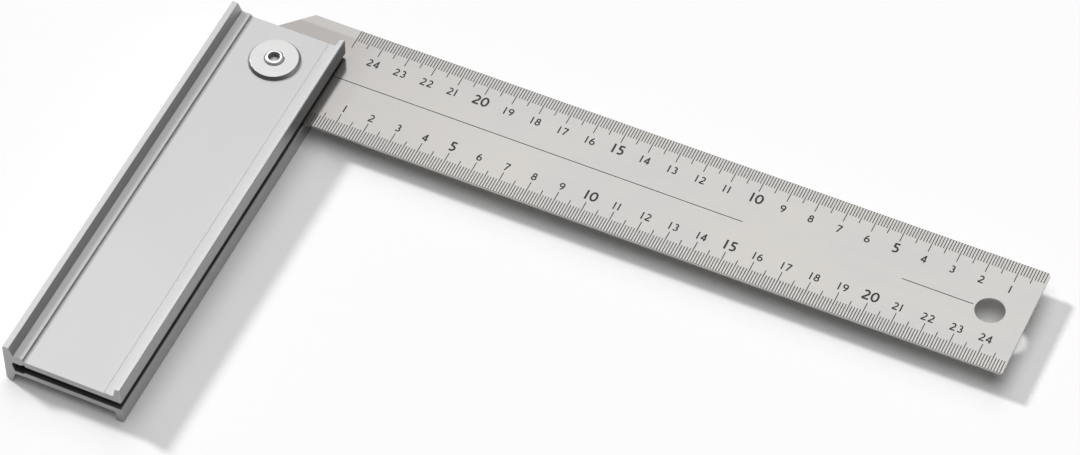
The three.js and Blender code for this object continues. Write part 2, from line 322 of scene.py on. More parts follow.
def settle(mesh):
    """Merges what touches, turns the faces of every closed shell outwards and sets smoothing."""
    shell = bmesh.new()
    shell.from_mesh(mesh)
    bmesh.ops.remove_doubles(shell, verts=shell.verts, dist=SAME_POINT)
    bmesh.ops.recalc_face_normals(shell, faces=shell.faces)
    shell.to_mesh(mesh)
    shell.free()
    mesh.polygons.foreach_set("use_smooth", np.ones(len(mesh.polygons), bool))
    mesh.set_sharp_from_angle(angle=SMOOTH_ANGLE)
    mesh.update()


def in_scene(name, data):
    """A new object for this data, put into the scene."""
    made = bpy.data.objects.new(name, data)
    bpy.context.scene.collection.objects.link(made)
    return made


def add_piece(name, mesh, body, materials, stands_for=(), flat_led=False):
    """Puts a mesh into the scene as a piece that rides on a body. Where it is led by its flats,
    large flat faces set the shading of the small rounds beside them."""
    piece = in_scene(name, mesh)
    for material in materials:
        mesh.materials.append(material)
    if flat_led:
        piece.modifiers.new("weighted_normals", "WEIGHTED_NORMAL").keep_sharp = True
    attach(piece, body)
    if stands_for:
        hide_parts(*stands_for)


def of_faces(mesh, value):
    """The centre or the normal of every face, one row each."""
    rows = np.empty(len(mesh.polygons) * 3)
    mesh.polygons.foreach_get(value, rows)
    return rows.reshape(-1, 3)


def reach_of_faces(mesh):
    """The distance of every face's centre from the pivot's axis."""
    return np.hypot(*(of_faces(mesh, "center")[:, :2] - PIVOT).T)


def give_materials(mesh, numbers):
    """Sets the number of the material on every face."""
    mesh.polygons.foreach_set("material_index", numbers.astype(np.int32))


def cut(mesh, cutter):
    """The mesh with the cutter's solid taken away."""
    block = in_scene("block", mesh)
    tool = in_scene("tool", cutter)
    modifier = block.modifiers.new("cut", "BOOLEAN")
    modifier.operation = "DIFFERENCE"
    modifier.solver = "EXACT"
    modifier.object = tool
    evaluated = block.evaluated_get(bpy.context.evaluated_depsgraph_get())
    result = bpy.data.meshes.new_from_object(evaluated)
    if len(result.polygons) <= len(mesh.polygons):
        raise RuntimeError(f"{cutter.name} has cut nothing from {mesh.name}")
    for each in (block, tool):
        bpy.data.objects.remove(each)
    return result


# Materials

class Wire:
    """A socket whose value can be reckoned with: each operator adds one Math node."""

    def __init__(self, finish, socket):
        self.finish = finish
        self.socket = socket

    def math(self, operation, first, second):
        return self.finish.node("ShaderNodeMath", {"operation": operation}, {0: first, 1: second})

    def __add__(self, other):
        return self.math("ADD", self, other)

    def __radd__(self, other):
        return self.math("ADD", other, self)

    def __mul__(self, other):
        return self.math("MULTIPLY", self, other)

    def __rmul__(self, other):
        return self.math("MULTIPLY", other, self)


class Finish:
    """The node graph of a material, or of the world, while it is being built."""

    def __init__(self, name, kind=bpy.data.materials):
        self.owner = kind.new(name)
        self.owner.use_nodes = True
        self.tree = self.owner.node_tree
        self.tree.nodes.clear()

    def node(self, kind, choices=None, inputs=None, output=0):
        """Adds a node, sets its choices, then gives its sockets values or links, and returns one of
        its outputs."""
        made = self.tree.nodes.new(kind)
        for key, value in (choices or {}).items():
            setattr(made, key, value)
        for key, value in (inputs or {}).items():
            if isinstance(value, Wire):
                self.tree.links.new(value.socket, made.inputs[key])
            else:
                made.inputs[key].default_value = value
        return None if output is None else Wire(self, made.outputs[output])

    def vector(self, operation, first, second=(0, 0, 0), output=0):
        """A Vector Math node."""
        return self.node("ShaderNodeVectorMath", {"operation": operation},
                         {0: first, 1: second}, output)

    def place(self, scale=(1, 1, 1), shift=(0, 0, 0)):
        """Object coordinates, moved and then stretched by the scale."""
        raw = self.node("ShaderNodeTexCoord", output="Object")
        return self.vector("MULTIPLY", self.vector("SUBTRACT", raw, shift), scale)

    def noise(self, scale, detail=3.0, roughness=0.5):
        """Fractal noise from 0 to 1 with its own scale along each axis, in features a metre."""
        return self.node("ShaderNodeTexNoise", None, {
            "Vector": self.place(scale), "Scale": 1.0, "Detail": detail, "Roughness": roughness})

    def remap(self, value, low, high, to_low=0.0, to_high=1.0):
        """The value, with low and high brought to two new numbers and held between them."""
        return self.node("ShaderNodeMapRange", {"clamp": True}, {
            "Value": value, "From Min": low, "From Max": high, "To Min": to_low, "To Max": to_high})

    def blend(self, mask, first, second):
        """The first colour where the mask is 0 and the second where it is 1."""
        return self.node("ShaderNodeMix", {"data_type": "RGBA"}, {0: mask, 6: first, 7: second}, 2)

    def mottled(self, pattern, rgb, darkest, lightest, low=0.35, high=0.65):
        """The colour, times the first factor where the pattern is low and the second where high."""
        return self.blend(self.remap(pattern, low, high), shade(rgb, darkest), shade(rgb, lightest))

    def rough(self, pattern, least, most):
        """Roughness that follows the pattern, whose values lie mostly from 0.3 to 0.7."""
        return self.remap(pattern, 0.3, 0.7, least, most)

    def bump(self, height, depth, strength=0.6):
        """A normal for grooves of this depth, in metres."""
        return self.node("ShaderNodeBump", None, {
            "Height": height, "Distance": depth, "Strength": strength})

    def seen(self):
        """1 for what the camera, a reflection or glass shows, and 0 for light that is gathered."""
        camera, glossy, through = (self.node("ShaderNodeLightPath", output=key) for key in (
            "Is Camera Ray", "Is Glossy Ray", "Is Transmission Ray"))
        return camera + glossy + through

    def done(self, **sockets):
        """Ends the graph in a Principled shader with these sockets, underscores for spaces."""
        inputs = {key.replace("_", " "): value for key, value in sockets.items()}
        return self.ending_in(self.node("ShaderNodeBsdfPrincipled", None, inputs))

    def ending_in(self, surface, output="ShaderNodeOutputMaterial"):
        """Ends the graph in this shader and returns the material or the world."""
        self.node(output, None, {"Surface": surface}, output=None)
        return self.owner


def shade(rgb, factor):
    """A colour with its alpha, times one factor or one each for red, green and blue."""
    return (*(np.array(rgb) * factor), 1.0)


def anodised_aluminium(name, rgb, roughness=0.52):
    """Satin anodising over fine lines that run along the extrusion."""
    finish = Finish(name)
    lines = finish.noise((2600, 14, 2600), detail=4.0, roughness=0.6)
    cloud = finish.noise((35, 22, 35))
    grain = finish.noise((9000, 9000, 9000), detail=2.0)
    relief = lines * 0.7 + grain * 0.3
    return finish.done(
        Base_Color=finish.mottled(lines * 0.6 + cloud * 0.4, rgb, 0.965, 1.02),
        Metallic=0.8,
        Roughness=finish.rough(relief, roughness, roughness + 0.1),
        Normal=finish.bump(relief, 0.000006))


def sawn_aluminium(name, rgb):
    """Bare metal with the arcs of a saw across it."""
    finish = Finish(name)
    arcs = finish.noise((1200, 300, 5200), detail=4.0, roughness=0.7)
    cloud = finish.noise((160, 160, 160))
    return finish.done(
        Base_Color=finish.mottled(arcs * 0.65 + cloud * 0.35, rgb, 0.9, 1.06),
        Metallic=0.85,
        Roughness=finish.rough(arcs, 0.5, 0.62),
        Normal=finish.bump(arcs, 0.00001, 0.8))


# Painted shade on the blade, in distances along it from the stock's inner face and across it from
# the outer edge: a painted dark reflection over the tail, which leaves a strip along that edge, and
# painted shade near the stock that fades further out
TAIL_SHADE_FROM, TAIL_SHADE_TO, TAIL_SHADE = -6 * MM, 12 * MM, 0.55
STRIP_FROM, STRIP_TO = -4.4 * MM, -3.6 * MM
STOCK_SHADE_FROM, STOCK_SHADE_TO, STOCK_SHADE = -20 * MM, 60 * MM, 0.4


def satin_steel(name, rgb):
    """Steel brushed along the blade, with broad warm and cool clouds, and painted shade towards its
    tail.
    """
    finish = Finish(name)
    strokes = finish.noise((22, 3200, 3200), detail=5.0, roughness=0.65)
    fine = finish.noise((160, 9000, 9000))
    cloud = finish.noise((26, 55, 55), detail=4.0, roughness=0.55)
    cool, warm = (0.965, 0.965, 0.97), (1.01, 0.995, 0.965)
    tint = finish.mottled(cloud, rgb, cool, warm, 0.38, 0.62)
    streaks = finish.remap(strokes, 0.35, 0.65, 0.0, 0.1)
    spot = finish.place(shift=(CORNER_X, BLADE_HIGH.y, 0))
    along, across = (finish.node("ShaderNodeSeparateXYZ", None, {0: spot}, key) for key in "XY")
    # Painted dark reflection over the tail, which spares the strip along the outer edge
    worn = finish.remap(along, TAIL_SHADE_FROM, TAIL_SHADE_TO, TAIL_SHADE, 0.0) * finish.remap(
        across, STRIP_FROM, STRIP_TO, 1.0, 0.0)
    # Painted shade, darkest near the stock and fading along the blade, plus the tail's painted
    # reflection
    painted_shade = finish.remap(along, STOCK_SHADE_FROM, STOCK_SHADE_TO, STOCK_SHADE, 0.0) + worn
    relief = strokes * 0.6 + fine * 0.4
    return finish.done(
        Base_Color=finish.blend(streaks + painted_shade, tint, shade(rgb, (0.72, 0.695, 0.69))),
        Metallic=0.92,
        Roughness=finish.rough(relief, 0.11, 0.19),
        Normal=finish.bump(relief, 0.000006))


def turned_steel(name, rgb):
    """Fine rings of a lathe tool about the pivot."""
    finish = Finish(name)
    spot = finish.place((1, 1, 0), (PIVOT_X, PIVOT_Y, 0))
    reach = finish.vector("LENGTH", spot, output="Value")
    rings = finish.node("ShaderNodeTexNoise", {"noise_dimensions": "1D"}, {
        "W": reach * 3800.0, "Scale": 1.0, "Detail": 4.0, "Roughness": 0.6})
    grain = finish.noise((5200, 5200, 5200), detail=2.0)
    mix = rings * 0.75 + grain * 0.25
    return finish.done(
        Base_Color=finish.mottled(mix, rgb, 0.965, 1.02),
        Metallic=0.92,
        Roughness=finish.rough(mix, 0.3, 0.4),
        Normal=finish.bump(rings, 0.000005))


def spring_steel(name, rgb):
    """Dull dark steel with fine marks for the split ring, and painted shade in the socket."""
    finish = Finish(name)
    marks = finish.noise((3000, 3000, 700), detail=4.0)
    return finish.done(
        Base_Color=finish.mottled(marks, rgb, 0.85, 1.1),
        Metallic=0.9,
        Roughness=finish.rough(marks, 0.35, 0.5),
        Normal=finish.bump(marks, 0.00001))


def black_nylon(name, rgb):
    """Matt nylon with a fine moulded grain."""
    finish = Finish(name)
    grain = finish.noise((3500, 3500, 3500), detail=4.0)
    return finish.done(
        Base_Color=finish.mottled(grain, rgb, 0.8, 1.4),
        Roughness=finish.rough(grain, 0.55, 0.75),
        Normal=finish.bump(grain, 0.00002))


def etched_ink(name, rgb):
    """Dark etching, a little worn along the brushing."""
    finish = Finish(name)
    wear = finish.noise((300, 3000, 3000), detail=4.0)
    return finish.done(
        Base_Color=finish.mottled(wear, rgb, 1.0, 2.0, 0.45, 0.7),
        Specular_IOR_Level=0.25,
        Roughness=finish.rough(wear, 0.45, 0.6),
        Normal=finish.bump(wear, 0.000005, 0.5))


def white_floor(name, rgb, glow):
    """A pale floor that keeps shadows. Where the camera or a reflection sees it, it is white, with
    a little light of its own."""
    finish = Finish(name)
    white = (1, 1, 1, 1)
    pale = finish.blend(finish.noise((3, 3, 3), detail=2.0), shade(rgb, 0.996), shade(rgb, 1.004))
    seen = finish.seen()
    diffuse = finish.node("ShaderNodeBsdfDiffuse", None, {"Color": finish.blend(seen, pale, white)})
    glowing = finish.node("ShaderNodeEmission", None, {"Color": white, "Strength": seen * glow})
    return finish.ending_in(finish.node("ShaderNodeAddShader", None, {0: diffuse, 1: glowing}))


# The room's near side, where its walls are darker: its direction, the cosines of the angle to it at
# which they start and end darkening, and how much of their level is left there
NEAR_SIDE = (-0.079, -0.903, 0.423)
NEAR_START, NEAR_END, NEAR_LEFT = 0.2, 0.6, 0.25


def pale_room(name, level, reflected):
    """Dim light from all round, and pale walls that only the camera, reflections and glass see."""
    finish = Finish(name, bpy.data.worlds)
    outwards = finish.node("ShaderNodeTexCoord", output="Generated")
    nearness = finish.vector("DOT_PRODUCT", outwards, NEAR_SIDE, "Value")
    walls = finish.remap(nearness, NEAR_START, NEAR_END, 1.0, NEAR_LEFT)
    return finish.ending_in(finish.node("ShaderNodeBackground", None, {
        "Color": (1, 1, 1, 1), "Strength": finish.seen() * walls * reflected + level}),
        "ShaderNodeOutputWorld")


# Pieces

def stock_section(sizes):
    """Corners of the stock's section, X across from the inner face and Z up, each with its radius
    before and after: from the lower lip round the slot, over the top, down the flange and back
    underneath. All of it is in millimetres until the end."""
    outer = (STOCK_LOW.x - STOCK_HIGH.x) / MM
    top = STOCK_HIGH.z / MM
    wall, flange_tip, flange_foot = (
        outer + each / MM for each in (sizes.wall, sizes.flange_tip, sizes.flange_foot))
    shelf_end = flange_foot + sizes.shelf / MM
    lower_bottom = sizes.lip_rise / MM
    lower_top = lower_bottom + sizes.plate / MM
    upper_top = top - lower_bottom
    upper_bottom = upper_top - sizes.plate / MM
    shelf_top = upper_top + sizes.shelf_rise / MM
    band_top = upper_top + 0.12
    lip_foot = -2.75
    band_end = lip_foot - sizes.band / MM
    lower_lip = -2.7
    mouth = 0.4
    edge = 0.3
    groove = 0.85
    crisp = 0.1
    rows = [
        # Lower lip, the slot's mouth and its floor with the recess
        (0, 0, edge, edge),
        (0, lower_top - mouth, crisp, crisp),
        (-mouth, lower_top, crisp, crisp),
        (outer + 7.5, lower_top, 0.2, 0.2),
        (outer + 6.5, lower_top - groove, 0.2, 0.2),
        (outer + 3.7, lower_top - groove, 0.2, 0.2),
        # Wall that closes the slot, with its chamfer, and the slot's roof with the notch
        (wall, (lower_top + upper_bottom) / 2, 0.3, 0.3),
        (wall, upper_bottom - 0.5, crisp, crisp),
        (wall + 0.5, upper_bottom, crisp, crisp),
        (outer + 6.3, upper_bottom, crisp, crisp),
        (outer + 7.4, upper_bottom + groove, crisp, crisp),
        (outer + 7.9, upper_bottom, crisp, crisp),
        (-mouth, upper_bottom, crisp, crisp),
        (0, upper_bottom + mouth, crisp, crisp),
        # Upper lip, the low band along its foot and the upper plate
        (0, top - edge, 0.06, 0.06),
        (-edge, top, 0.06, 0.06),
        (-1.9, top - 0.24, 0.25, 0.25),
        (lip_foot, band_top + 0.1, 0.5, 0.5),
        (-4.2, band_top, 1.0, 1.0),
        (band_end, band_top - 0.03, 0.05, 0.05),
        (band_end - 0.1, upper_top - 0.1, 0.06, 0.06),
        (band_end - 0.45, upper_top, 0.2, 0.2),
        # Shelf and flange
        (shelf_end + 0.3, upper_top, 1.1, 0.4),
        (shelf_end, shelf_top, 0.15, 0.15),
        (flange_foot, shelf_top, 0.25, 0.25),
        (flange_tip, top, 0.12, 0.12),
        (outer, top, 0.3, 0.3),
        # Underneath: the flange's foot, the lower plate and the lower lip's inner side
        (outer, 0.8, crisp, crisp),
        (outer + 0.8, 0, crisp, crisp),
        (flange_tip, 0, 0.15, 0.15),
        (flange_foot, lower_bottom, 0.4, 0.4),
        (lower_lip, lower_bottom, 0.8, 0.8),
        (lower_lip, 0, 0.15, 0.15),
    ]
    return rounded(np.array(rows) * MM) + np.array([CORNER_X, 0])


class MakeStock(bpy.types.Operator):
    """Make the extruded stock with its sawn ends and its two holes at the pivot"""
    bl_idname = "set_square.make_stock"
    bl_label = "Stock"

    def execute(self, context):
        sizes = settings().stock
        clamp = settings().clamp
        colours = settings().finishes
        points, faces = slab([stock_section(sizes)], STOCK_LOW.y, STOCK_HIGH.y, sizes.saw_edge)
        bar = mesh_of("bar", points[:, [0, 2, 1]], faces)
        middle = STOCK_HIGH.z / 2
        sleeve = ring(clamp.sleeve + RUNNING_GAP)
        half = clamp.neck / 2 + RUNNING_GAP
        square = np.array([[-1, -1], [1, -1], [1, 1], [-1, 1]]) * half + PIVOT
        bar = cut(bar, mesh_of("sleeve_hole", *slab([sleeve], middle, STOCK_HIGH.z, 0)))
        bar = cut(bar, mesh_of("neck_hole", *slab([square], 0, middle, 0)))
        bar.name = "stock_body"
        settle(bar)
        add_piece("stock_body", bar, "stock", [
            anodised_aluminium("anodised_aluminium", colours.aluminium),
            sawn_aluminium("sawn_aluminium", colours.sawn),
            # Faces turned to the right: a smoother milled finish, and painted shade in the darker
            # colour
            anodised_aluminium("right_faces_painted_shade", colours.shade_painted, 0.32),
            # The shelf, with the flange's shadow painted on as a darker colour
            anodised_aluminium("shelf_painted_shadow", colours.shade_painted),
            # The slot's walls, nearly black with painted shade
            anodised_aluminium("slot_painted_shade", colours.slot)], ["stock_profile"], flat_led=True)
        normals = of_faces(bar, "normal")
        across, _, level = of_faces(bar, "center").T
        shelf_top = STOCK_HIGH.z - sizes.lip_rise + sizes.shelf_rise
        slot_mouth = CORNER_X - 0.5 * MM
        slot_end = STOCK_LOW.x + 2 * MM
        slot_reach = 2.55 * MM  # just over half the slot's height at its grooves
        near_fence = 0.05 * MM  # a face this near to the inner face or the shelf belongs to it
        near_shelf = 0.02 * MM
        sawn = np.abs(normals[:, 1]) > FLAT_NORMAL
        fence = across > CORNER_X - near_fence
        # Faces turned to +X at the fence and above the shelf: milled smoother, and darker by
        # painted shade
        shade_painted = (normals[:, 0] > FLAT_NORMAL) & (fence | (level > shelf_top))
        # The shelf's top, which lies in the flange's shadow, painted darker
        shelf = np.abs(level - shelf_top) < near_shelf
        # The slot's inner walls, which get the painted shade
        slot = (np.abs(level - middle) < slot_reach) & (across < slot_mouth) & (across > slot_end)
        give_materials(bar, np.select([sawn, shade_painted, shelf, slot], [1, 2, 3, 4], 0))
        return {"FINISHED"}


class MakeBlade(bpy.types.Operator):
    """Make the steel rule blade with its tail, pivot hole and hanging hole"""
    bl_idname = "set_square.make_blade"
    bl_label = "Blade"

    def execute(self, context):
        sizes = settings().blade
        # The tail is an arc about the pivot. A chamfer at 45 degrees, a little inside that circle,
        # cuts it off and leads up to the blade's outer edge
        swing = PIVOT_X - BLADE_LOW.x
        relief = 2.1 * MM
        to_line = swing - relief
        along = math.sqrt(swing ** 2 - to_line ** 2)
        high_x = PIVOT_X + (BLADE_HIGH.y - PIVOT_Y) - to_line * math.sqrt(2)
        start = 0.75 * math.pi + math.atan2(along, to_line)
        end = math.pi + math.asin((PIVOT_Y - BLADE_LOW.y) / swing)
        tail = arc(PIVOT, swing, start, end, TAIL_STEPS)
        soft = 0.5 * MM
        outline = rounded(even([
            (BLADE_HIGH.x, BLADE_LOW.y), (BLADE_HIGH.x, BLADE_HIGH.y), (high_x, BLADE_HIGH.y),
            tail[0], tail[-1]], [sizes.lower_round, sizes.upper_round, soft, soft, soft]))
        first_three = outline[:3 * (ARC_STEPS + 1)]
        hole = np.array([BLADE_HIGH.x - sizes.hole_inset, (BLADE_LOW.y + BLADE_HIGH.y) / 2])
        shape = slab([
            np.concatenate([first_three, tail]),
            ring(settings().clamp.sleeve + RUNNING_GAP, SMALL_ROUND_STEPS),
            ring(sizes.hole, SMALL_ROUND_STEPS, hole)], BLADE_LOW.z, BLADE_HIGH.z, sizes.edge)
        steel = satin_steel("satin_steel", settings().finishes.steel)
        add_piece("blade_body", mesh_of("blade_body", *shape), "blade", [steel],
                  ["blade"], flat_led=True)
        return {"FINISHED"}


def etch(name, left, right, low, high):
    """A piece of upright boxes of ink across the blade's face, one for each entry of the arrays:
    eight corners and six faces each."""
    count = len(left)
    proud = settings().marks.proud
    x = np.stack([left, right, right, left], axis=1)
    y = np.stack([low, low, high, high], axis=1)
    layers = [np.stack([x, y, np.full((count, 4), level)], axis=-1)
              for level in (BLADE_HIGH.z - proud, BLADE_HIGH.z + proud)]
    points = np.concatenate(layers, axis=1).reshape(-1, 3)
    pattern = np.array([[3, 2, 1, 0], [4, 5, 6, 7], [0, 1, 5, 4], [1, 2, 6, 5], [2, 3, 7, 6],
                        [3, 0, 4, 7]])
    faces = (pattern[None] + 8 * np.arange(count)[:, None, None]).reshape(-1, 4)
    add_piece(name, mesh_of(name, points, [faces]), "blade",
              [bpy.data.materials["etched_ink"]])


# The marks stop this far from the blade's edges, and the outer scale's last mark lies this far from
# the inner face
MARK_INSET = 0.09 * MM
LAST_MARK_SHIFT = 0.13 * MM
# Both parts of the line between the scales, from and to, measured from the inner face
CENTRE_LINE = np.array([[-1, 150], [206.4, 231.3]]) * MM


class MakeScales(bpy.types.Operator):
    """Make the etched marks of both scales and the line between them"""
    bl_idname = "set_square.make_scales"
    bl_label = "Scales"

    def execute(self, context):
        sizes = settings().marks
        etched_ink("etched_ink", settings().finishes.ink)
        step = np.arange(1, round((BLADE_HIGH.x - CORNER_X) / MM))
        inner_end = np.select([step % 10 == 0, step % 5 == 0], [sizes.ten, sizes.five],
                              sizes.millimetre)
        axis_y = CORNER_Y + sizes.axis
        half = sizes.tick / 2
        count = len(step)
        x = np.concatenate([CORNER_X + step * MM, BLADE_HIGH.x - step * MM,
                            [CORNER_X + LAST_MARK_SHIFT]])
        low = np.concatenate([np.full(count, BLADE_LOW.y + MARK_INSET), axis_y + inner_end,
                              [axis_y + sizes.ten]])
        high = np.concatenate([axis_y - inner_end, np.full(count + 1, BLADE_HIGH.y - MARK_INSET)])
        etch("scale_marks", x - half, x + half, low, high)
        start, end = (CORNER_X + CENTRE_LINE).T
        etch("centre_line", start, end, np.full(2, axis_y - half), np.full(2, axis_y + half))
        return {"FINISHED"}


# Numbers as strokes in a cell one high, centred on X 0. A stroke is a chain of points and arcs, and
# an arc is centre x, y, radius across, radius up, first and last angle in degrees
STROKES = {
    0: [[(0, 0.5, 0.27, 0.43, 0, 360)]],
    1: [[(0, 0), (0, 1)]],
    2: [[(-0.02, 0.69, 0.22, 0.24, 150, -38), (-0.25, 0.1)], [(-0.29, 0.07), (0.3, 0.07)]],
    3: [[(-0.03, 0.72, 0.19, 0.21, 140, -85)], [(-0.04, 0.295, 0.24, 0.225, 88, -140)]],
    4: [[(0.13, 0.96), (-0.27, 0.3)], [(-0.32, 0.27), (0.31, 0.27)], [(0.12, 0), (0.12, 1)]],
    5: [[(-0.17, 0.93), (0.22, 0.93)], [(-0.15, 0.97), (-0.17, 0.53)],
        [(-0.06, 0.32, 0.25, 0.25, 115, -130)]],
    6: [[(0, 0.3, 0.24, 0.23, 0, 360)], [(0.22, 0.3, 0.46, 0.66, 180, 108)]],
    7: [[(-0.27, 0.93), (0.27, 0.93)], [(0.24, 0.91), (0.04, 0.45), (-0.1, 0)]],
    8: [[(0, 0.725, 0.18, 0.205, 0, 360)], [(0, 0.295, 0.23, 0.225, 0, 360)]],
    9: [[(0, 0.7, 0.24, 0.23, 0, 360)], [(-0.22, 0.7, 0.46, 0.66, 0, -72)]],
}
FULL_TURN_STEPS = 20
# Middle of the first and the second figure of a pair, in heights from the scale's mark
FIRST_PLACE = {1: -0.29, 2: -0.4}
SECOND_PLACE = {0: 0.36, 1: 0.24, 5: 0.37}
SECOND_PLACE_ELSE = 0.4
# Each further stroke of a figure ends this much higher, so that no two tops lie in one plane
STROKE_RISE = 0.001 * MM


def stroke_line(chain):
    """The points of one stroke, and whether it closes on itself: arcs are centre plus radii times
    cosine and sine of evenly spaced angles."""
    parts = []
    for item in chain:
        if len(item) == 2:
            parts.append(np.array([item], float))
            continue
        x, y, across, up, start, end = item
        steps = max(3, round(FULL_TURN_STEPS * abs(end - start) / 360))
        angle = np.radians(np.linspace(start, end, steps + 1))
        parts.append(np.stack([x + across * np.cos(angle), y + up * np.sin(angle)], axis=-1))
    line = np.concatenate(parts)
    closed = bool(np.allclose(line[0], line[-1]))
    return (line[:-1] if closed else line), closed


def stroke_solids(line, closed, weight, places, height, bottom, top):
    """The stroke as a flat bar at each place: every point is moved to both sides along the normal
    of the line through its neighbours, by half the weight, at the bottom and the top level."""
    if closed:
        along = np.roll(line, -1, axis=0) - np.roll(line, 1, axis=0)
    else:
        along = np.gradient(line, axis=0)
    along = unit(along)
    side = np.stack([-along[:, 1], along[:, 0]], axis=-1) * weight / 2
    flat = np.stack([line + side, line - side, line - side, line + side], axis=1) * height
    levels = np.tile(np.array([top, top, bottom, bottom])[:, None], (len(line), 1, 1))
    one = np.concatenate([flat, levels], axis=-1).reshape(-1, 3)
    offset = np.hstack([places, np.zeros((len(places), 1))])
    points = (one[None] + offset[:, None]).reshape(-1, 3)
    number = np.arange(len(one)).reshape(-1, 4)
    walls = quads(number, closed)
    if not closed:
        walls = np.concatenate([walls, number[:1], number[-1:]])
    faces = (walls[None] + len(one) * np.arange(len(places))[:, None, None]).reshape(-1, 4)
    return points, faces


class MakeNumbers(bpy.types.Operator):
    """Make the numbers of both scales, every fifth one larger"""
    bl_idname = "set_square.make_numbers"
    bl_label = "Numbers"

    def execute(self, context):
        sizes = settings().marks
        figures = {}
        for value in range(1, round((BLADE_HIGH.x - CORNER_X) / (10 * MM))):
            bold = value % 5 == 0
            height = sizes.bold_digit if bold else sizes.digit
            lower = (CORNER_X + value * 10 * MM, CORNER_Y + sizes.lower_base)
            upper = (BLADE_HIGH.x - value * 10 * MM, CORNER_Y + sizes.upper_base)
            first, second = divmod(value, 10)
            placed = [(second, 0)] if value < 10 else [
                (first, FIRST_PLACE[first]), (second, SECOND_PLACE.get(second, SECOND_PLACE_ELSE))]
            for x, y in (lower, upper):
                for figure, shift in placed:
                    figures.setdefault((figure, bold), []).append((x + shift * height, y))
        points, faces, count = [], [], 0
        for (figure, bold), places in figures.items():
            height = sizes.bold_digit if bold else sizes.digit
            weight = sizes.bold_weight if bold else sizes.weight
            for layer, chain in enumerate(STROKES[figure]):
                line, closed = stroke_line(chain)
                top = BLADE_HIGH.z + sizes.proud + layer * STROKE_RISE
                more, walls = stroke_solids(line, closed, weight, np.array(places), height,
                                            BLADE_HIGH.z - sizes.proud, top)
                points.append(more)
                faces.append(walls + count)
                count += len(more)
        mesh = mesh_of("numbers", np.concatenate(points), faces)
        add_piece("numbers", mesh, "blade", [bpy.data.materials["etched_ink"]])
        return {"FINISHED"}


class MakeDisc(bpy.types.Operator):
    """Make the turned disc with the sleeve that the blade turns on"""
    bl_idname = "set_square.make_disc"
    bl_label = "Disc"

    def execute(self, context):
        sizes = settings().clamp
        colours = settings().finishes
        rim = DISC_HIGH.x - PIVOT_X
        bottom = STOCK_HIGH.z - settings().stock.lip_rise + FACE_GAP
        bore = sizes.shank + SHANK_GAP
        counterbore = sizes.head + HEAD_GAP
        floor = DISC_HIGH.z - sizes.counterbore
        # One radius for each corner of the profile, in the same order
        radii = np.array([0.1, 0.3, 0.05, 0.08, 0.12, 0.14, 0.15, 0.05, 0.1]) * MM
        profile = rounded(even([
            (bore, DISC_LOW.z), (sizes.sleeve, DISC_LOW.z), (sizes.sleeve, bottom),
            (rim, bottom), (rim, bottom + sizes.disc_rim), (sizes.disc_top, DISC_HIGH.z),
            (counterbore, DISC_HIGH.z), (counterbore, floor), (bore, floor)], radii))
        mesh = mesh_of("disc", *turned(*profile.T, DISC_STEPS, closed=True))
        add_piece("disc", mesh, "stock", [
            turned_steel("turned_steel", colours.turned),
            # The disc's side, with painted shade
            turned_steel("disc_side_painted_shade", colours.rim)], ["pivot_disc"], flat_led=True)
        # Steep faces past the flat top get the painted shade
        steep = of_faces(mesh, "normal")[:, 2] < FLAT_NORMAL
        give_materials(mesh, (reach_of_faces(mesh) > sizes.disc_top) & steep)
        return {"FINISHED"}


class MakeScrew(bpy.types.Operator):
    """Make the clamp screw with its thread, rounded head and hexagon socket"""
    bl_idname = "set_square.make_screw"
    bl_label = "Screw"

    def execute(self, context):
        sizes = settings().clamp
        angle = round_angles(SMALL_ROUND_STEPS)
        tip = SCREW_LOW.z
        top = SCREW_HIGH.z
        head_bottom = SPRING_HIGH.z + FACE_GAP
        # Thread, between a chamfered tip and a plain neck: the radius falls by a share of the pitch
        # with the distance from the crest, and the groove fades in and out within one turn
        chamfer = 0.35 * MM
        neck = 0.8 * MM
        depth = 0.17 * MM
        rings_a_turn = 8
        first, last = tip + chamfer, head_bottom - neck
        level = np.linspace(first, last, int((last - first) / sizes.pitch * rings_a_turn))[:, None]
        phase = level / sizes.pitch - angle / (2 * math.pi)
        groove = 1 - np.abs(2 * (phase % 1) - 1)
        fade = np.clip(np.minimum(level - first, last - level) / sizes.pitch, 0, 1)
        thread = sizes.shank - depth * fade * groove
        # Head edge: a quarter circle, then a flat ring, the countersink's cone, and the hexagon,
        # which is half its flats over the cosine of the angle from the nearest flat's middle
        bend = np.linspace(0, math.pi / 2, HEAD_ROUND_STEPS + 1)
        edge_radius = sizes.head - sizes.head_round * (1 - np.cos(bend))
        edge_level = top - sizes.head_round * (1 - np.sin(bend))
        sixth = math.pi / 3
        hexagon = sizes.flats / 2 / np.cos(angle % sixth - sixth / 2)
        worn_corner = 0.985
        hexagon = np.minimum(hexagon, hexagon.max() * worn_corner)
        mouth = top - (sizes.countersink - hexagon)
        floor = top - sizes.socket_depth
        lip, lip_fall = 0.06 * MM, 0.03 * MM
        under_head, under_edge = 0.97 * sizes.head, 0.1 * MM
        drill_point = 0.25 * MM
        radii = [0, sizes.shank - chamfer, *thread, sizes.shank, under_head, sizes.head,
                 *edge_radius, sizes.countersink + lip, sizes.countersink, hexagon, hexagon, 0]
        levels = [tip, tip, *level, head_bottom, head_bottom, head_bottom + under_edge,
                  *edge_level, top, top - lip_fall, mouth, floor, floor - drill_point]
        mesh = mesh_of("screw", *turned(radii, levels, SMALL_ROUND_STEPS, closed=False))
        # The socket's walls: painted shade in a dark colour
        socket = spring_steel("socket_painted_shade", settings().finishes.socket)
        add_piece("screw", mesh, "clamp_screw",
                  [bpy.data.materials["turned_steel"], socket], ["clamp_screw"], flat_led=True)
        above = of_faces(mesh, "center")[:, 2] > floor
        give_materials(mesh, (reach_of_faces(mesh) < sizes.countersink) & above)
        return {"FINISHED"}


